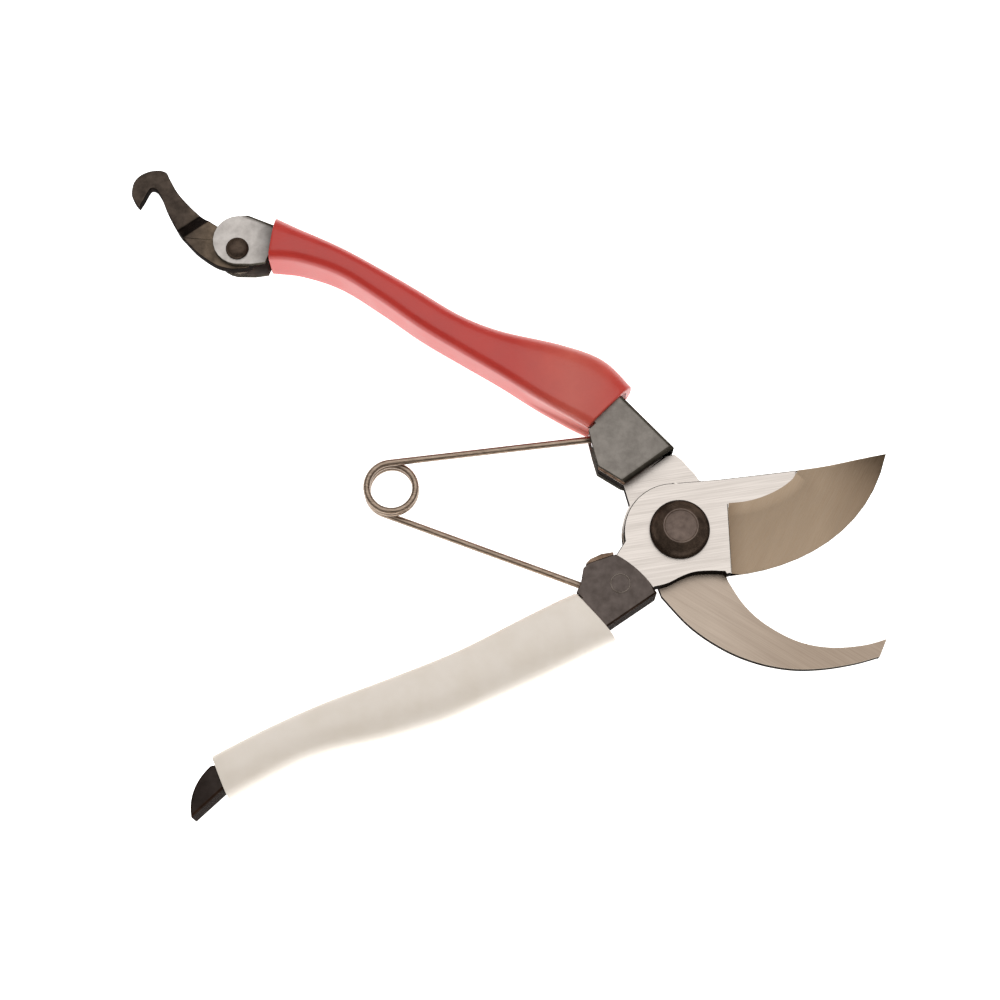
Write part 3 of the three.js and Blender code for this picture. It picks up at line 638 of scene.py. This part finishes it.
def make_spring():
    """One wire: a bent peg in each neck, a straight leg to each, and the coil between them, running down
    across the coil's height. It is drawn at rest on no body, so it doesn't wind up as the handles close."""
    joints = {j["name"]: Vector(j["pos_m"]) for j in frame["joints"]}
    coil = joints["spring_coil_wind"]
    middle = coil.z
    wire_r, coil_r, pitch = 0.9 * MM, 6.25 * MM, 2.15 * MM
    whole_turns = 3
    leg_steps, coil_steps = 12, 90
    # The pegs stand a little to one side in their holes.
    red_peg = Vector((-20.1 * MM, 25.2 * MM, middle))
    white_peg = joints["spring_lower_pivot"] - Vector((0, 0.2 * MM, 0))
    peg_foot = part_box("spring_upper_leg")[0].z + 0.2 * MM

    def tangent(peg, side):
        """The angle on the coil at which a straight leg from a peg touches it."""
        reach = peg - coil
        return math.atan2(reach.y, reach.x) + side * math.acos(coil_r / reach.to_2d().length)

    start = tangent(red_peg, 1)
    end = tangent(white_peg, -1) + 2 * whole_turns * math.pi
    half_height = pitch * (end - start) / (4 * math.pi)

    def on_coil(angle):
        """The point on the coil at an angle, from the upper leg down to the lower one."""
        share = (angle - start) / (end - start)
        height = middle + half_height * (1 - 2 * share)
        return Vector((coil.x + coil_r * math.cos(angle), coil.y + coil_r * math.sin(angle), height))

    def peg_points(peg, along):
        """The bent end: down into the hole, then round a tight bend into the leg."""
        bend = 1.3 * MM
        foot = Vector((peg.x, peg.y, peg_foot))
        curve = []
        for a in [i * math.pi / 10 for i in range(6)]:
            drop = Vector((0, 0, bend * (1 - math.sin(a))))
            curve.append(peg + along * bend * (1 - math.cos(a)) - drop)
        return [foot, foot.lerp(curve[0], 0.5), *curve]

    first, last = on_coil(start), on_coil(end)
    route = peg_points(red_peg, (first - red_peg).normalized())
    route += [route[-1].lerp(first, i / leg_steps) for i in range(1, leg_steps)]
    route += [on_coil(start + (end - start) * i / coil_steps) for i in range(coil_steps + 1)]
    tail = peg_points(white_peg, (last - white_peg).normalized())[::-1]
    route += [last.lerp(tail[0], i / leg_steps) for i in range(1, leg_steps)]
    route += tail

    curve = bpy.data.curves.new("spring_route", "CURVE")
    curve.dimensions = "3D"
    curve.bevel_depth = wire_r
    curve.bevel_resolution = 4
    curve.use_fill_caps = True
    spline = curve.splines.new("POLY")
    spline.points.add(len(route) - 1)
    for point, place in zip(spline.points, route):
        point.co = (*place, 1)
    drawn = bpy.data.objects.new("spring_route", curve)
    bpy.context.scene.collection.objects.link(drawn)
    bpy.context.view_layer.update()
    bm = bmesh.new()
    bm.from_mesh(drawn.to_mesh())
    bpy.data.objects.remove(drawn)
    bmesh.ops.remove_doubles(bm, verts=bm.verts, dist=0.001 * MM)
    bmesh.ops.recalc_face_normals(bm, faces=bm.faces)
    piece = finish_piece(bm, "torsion_spring_wire", None, [wire_steel], crease=40)
    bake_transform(piece)
    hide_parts("spring_lower_leg", "spring_upper_leg")


# ---- catch ------------------------------------------------------------------------------

def make_catch():
    """The catch hook: pressed from sheet with a joggle, its edges rounded by tumbling."""
    bm = cad_copy("catch_hook")
    tumbled = 0.28 * MM
    bevel(bm, sharp_edges(bm, 25), tumbled, segments=3)
    # Painted shade: the hook's walls and joggle get the dark finish.
    shade_the_sides(bm, 1, level=0.9)
    piece = finish_piece(
        bm, "catch_hook_joggled", "catch", [hook_steel, scale_and_side_shade],
        ["catch_hook"])
    level_normals(piece)


def make_catch_rivet():
    """The rivet through the red handle's lugs: a shank between two domed heads."""
    low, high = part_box("catch_rivet")
    centre = (low + high) / 2
    centre.z = 0
    shell_low, shell_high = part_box("red_handle_shell")
    rim, shank, gap = 3.0 * MM, 2.0 * MM, 0.1 * MM
    top, foot = shell_high.z + gap, shell_low.z - gap
    dome, cup = high.z - top, foot - low.z
    fullness = 0.9    # a power below 1 fills the upper dome out
    quarter = [math.radians(90 * i / 8) for i in range(9)]
    profile = [(rim * math.sin(a), foot - cup * math.cos(a)) for a in quarter]
    profile += [(shank, foot), (shank, top)]
    profile += [(rim * math.cos(a), top + dome * math.sin(a) ** fullness) for a in quarter]
    bm = spun(profile, centre, steps=64)
    finish_piece(
        bm, "catch_rivet_domed", "counter_half", [black_oxide],
        ["catch_rivet"], crease=40)


make_cutting_blade()
make_counter_blade()
make_shell(
    "white_handle_shell", "cutting_half", black_sheet, black_sheet_side_shade,
    fold_width=0.6 * MM)
make_shell(
    "red_handle_shell", "counter_half", grey_sheet, grey_sheet_bend_shade, fold_width=1.6 * MM)
make_ring_stamp()
make_sleeve(
    "white_grip", "cutting_half", white_vinyl, WHITE_INNER, WHITE_OUTER, corner=2.0,
    groove_depth=0.0)
make_sleeve(
    "red_grip", "counter_half", red_vinyl, RED_INNER, RED_OUTER, corner=2.8,
    groove_depth=1.2)
for tang, half in ("white_tang_packing", "cutting_half"), ("red_tang_packing", "counter_half"):
    make_small_part(tang, "_brazed", half, braze_strip, 0.1 * MM)
make_pivot_bolt()
make_pivot_nut()
make_small_part("lock_washer", "_split", "cutting_half", bush_steel, 0.1 * MM, 50)
make_spring()
make_catch()
make_catch_rivet()
make_small_part("catch_bush", "_turned", "counter_half", bush_steel, 0.2 * MM, 50)


# ---- table, light and camera ------------------------------------------------------------

def make_table():
    """A backlit sheet of white acrylic. It shines, so the lower sides of the shears are lit from it. It
    lies just under them, so that no two faces coincide."""
    half_width, gap = 6.0, 0.05 * MM
    acrylic = new_material(
        "backlit_white_acrylic", Base_Color=colour("#F4F4F2"), Roughness=0.15,
        Emission_Color=colour("#FFFFFF"), Emission_Strength=1.3)[0]
    mesh = bpy.data.meshes.new("light_table")
    bm = bmesh.new()
    bmesh.ops.create_grid(bm, x_segments=1, y_segments=1, size=half_width)
    bm.to_mesh(mesh)
    bm.free()
    mesh.materials.append(acrylic)
    mesh.transform(Matrix.Translation((0, 0, -gap)))
    table = bpy.data.objects.new("light_table", mesh)
    bpy.context.scene.collection.objects.link(table)


def make_light(name, place, aim, size, power):
    """A square softbox, its side in metres and its power in watts, turned to what it lights."""
    lamp = bpy.data.lights.new(name, "AREA")
    lamp.shape = "SQUARE"
    lamp.size = size
    lamp.energy = power
    holder = bpy.data.objects.new(name, lamp)
    holder.location = place
    holder.rotation_euler = (aim - place).to_track_quat("-Z", "Y").to_euler()
    bpy.context.scene.collection.objects.link(holder)


def make_world():
    """Soft light from all round, and a backdrop as pale as the table."""
    room_strength, backdrop_strength = 0.32, 1.1
    world = bpy.data.worlds.new("studio")
    world.use_nodes = True
    tree = world.node_tree
    sky = tree.nodes["Background"]
    sky.inputs["Color"].default_value = colour("#FFF8F0")
    seen = node(tree, "LightPath")
    strength = node(tree, "MapRange", in0=seen, in3=room_strength, in4=backdrop_strength)
    tree.links.new(strength, sky.inputs["Strength"])
    bpy.context.scene.world = world


def make_camera():
    """Above the near side, 75 degrees up from the table, aimed a little below the middle of the shears."""
    aim = Vector((-45.6, 8.8, 8.0)) * MM
    height = math.radians(75)
    reach = 0.55
    back = Vector((0, -math.cos(height), math.sin(height)))
    lens = bpy.data.cameras.new("camera")
    lens.sensor_width = 36
    lens.lens = 77.2
    camera = bpy.data.objects.new("camera", lens)
    camera.location = aim + back * reach
    camera.rotation_euler = (-back).to_track_quat("-Z", "Y").to_euler()
    bpy.context.scene.collection.objects.link(camera)
    bpy.context.scene.camera = camera


make_table()
make_world()
centre = (cad_low + cad_high) / 2
make_light("overhead_softbox", centre + Vector((0.05, 0.24, 0.8)), centre, size=1.1, power=4.7)
make_camera()
bpy.context.scene.view_settings.view_transform = "Standard"
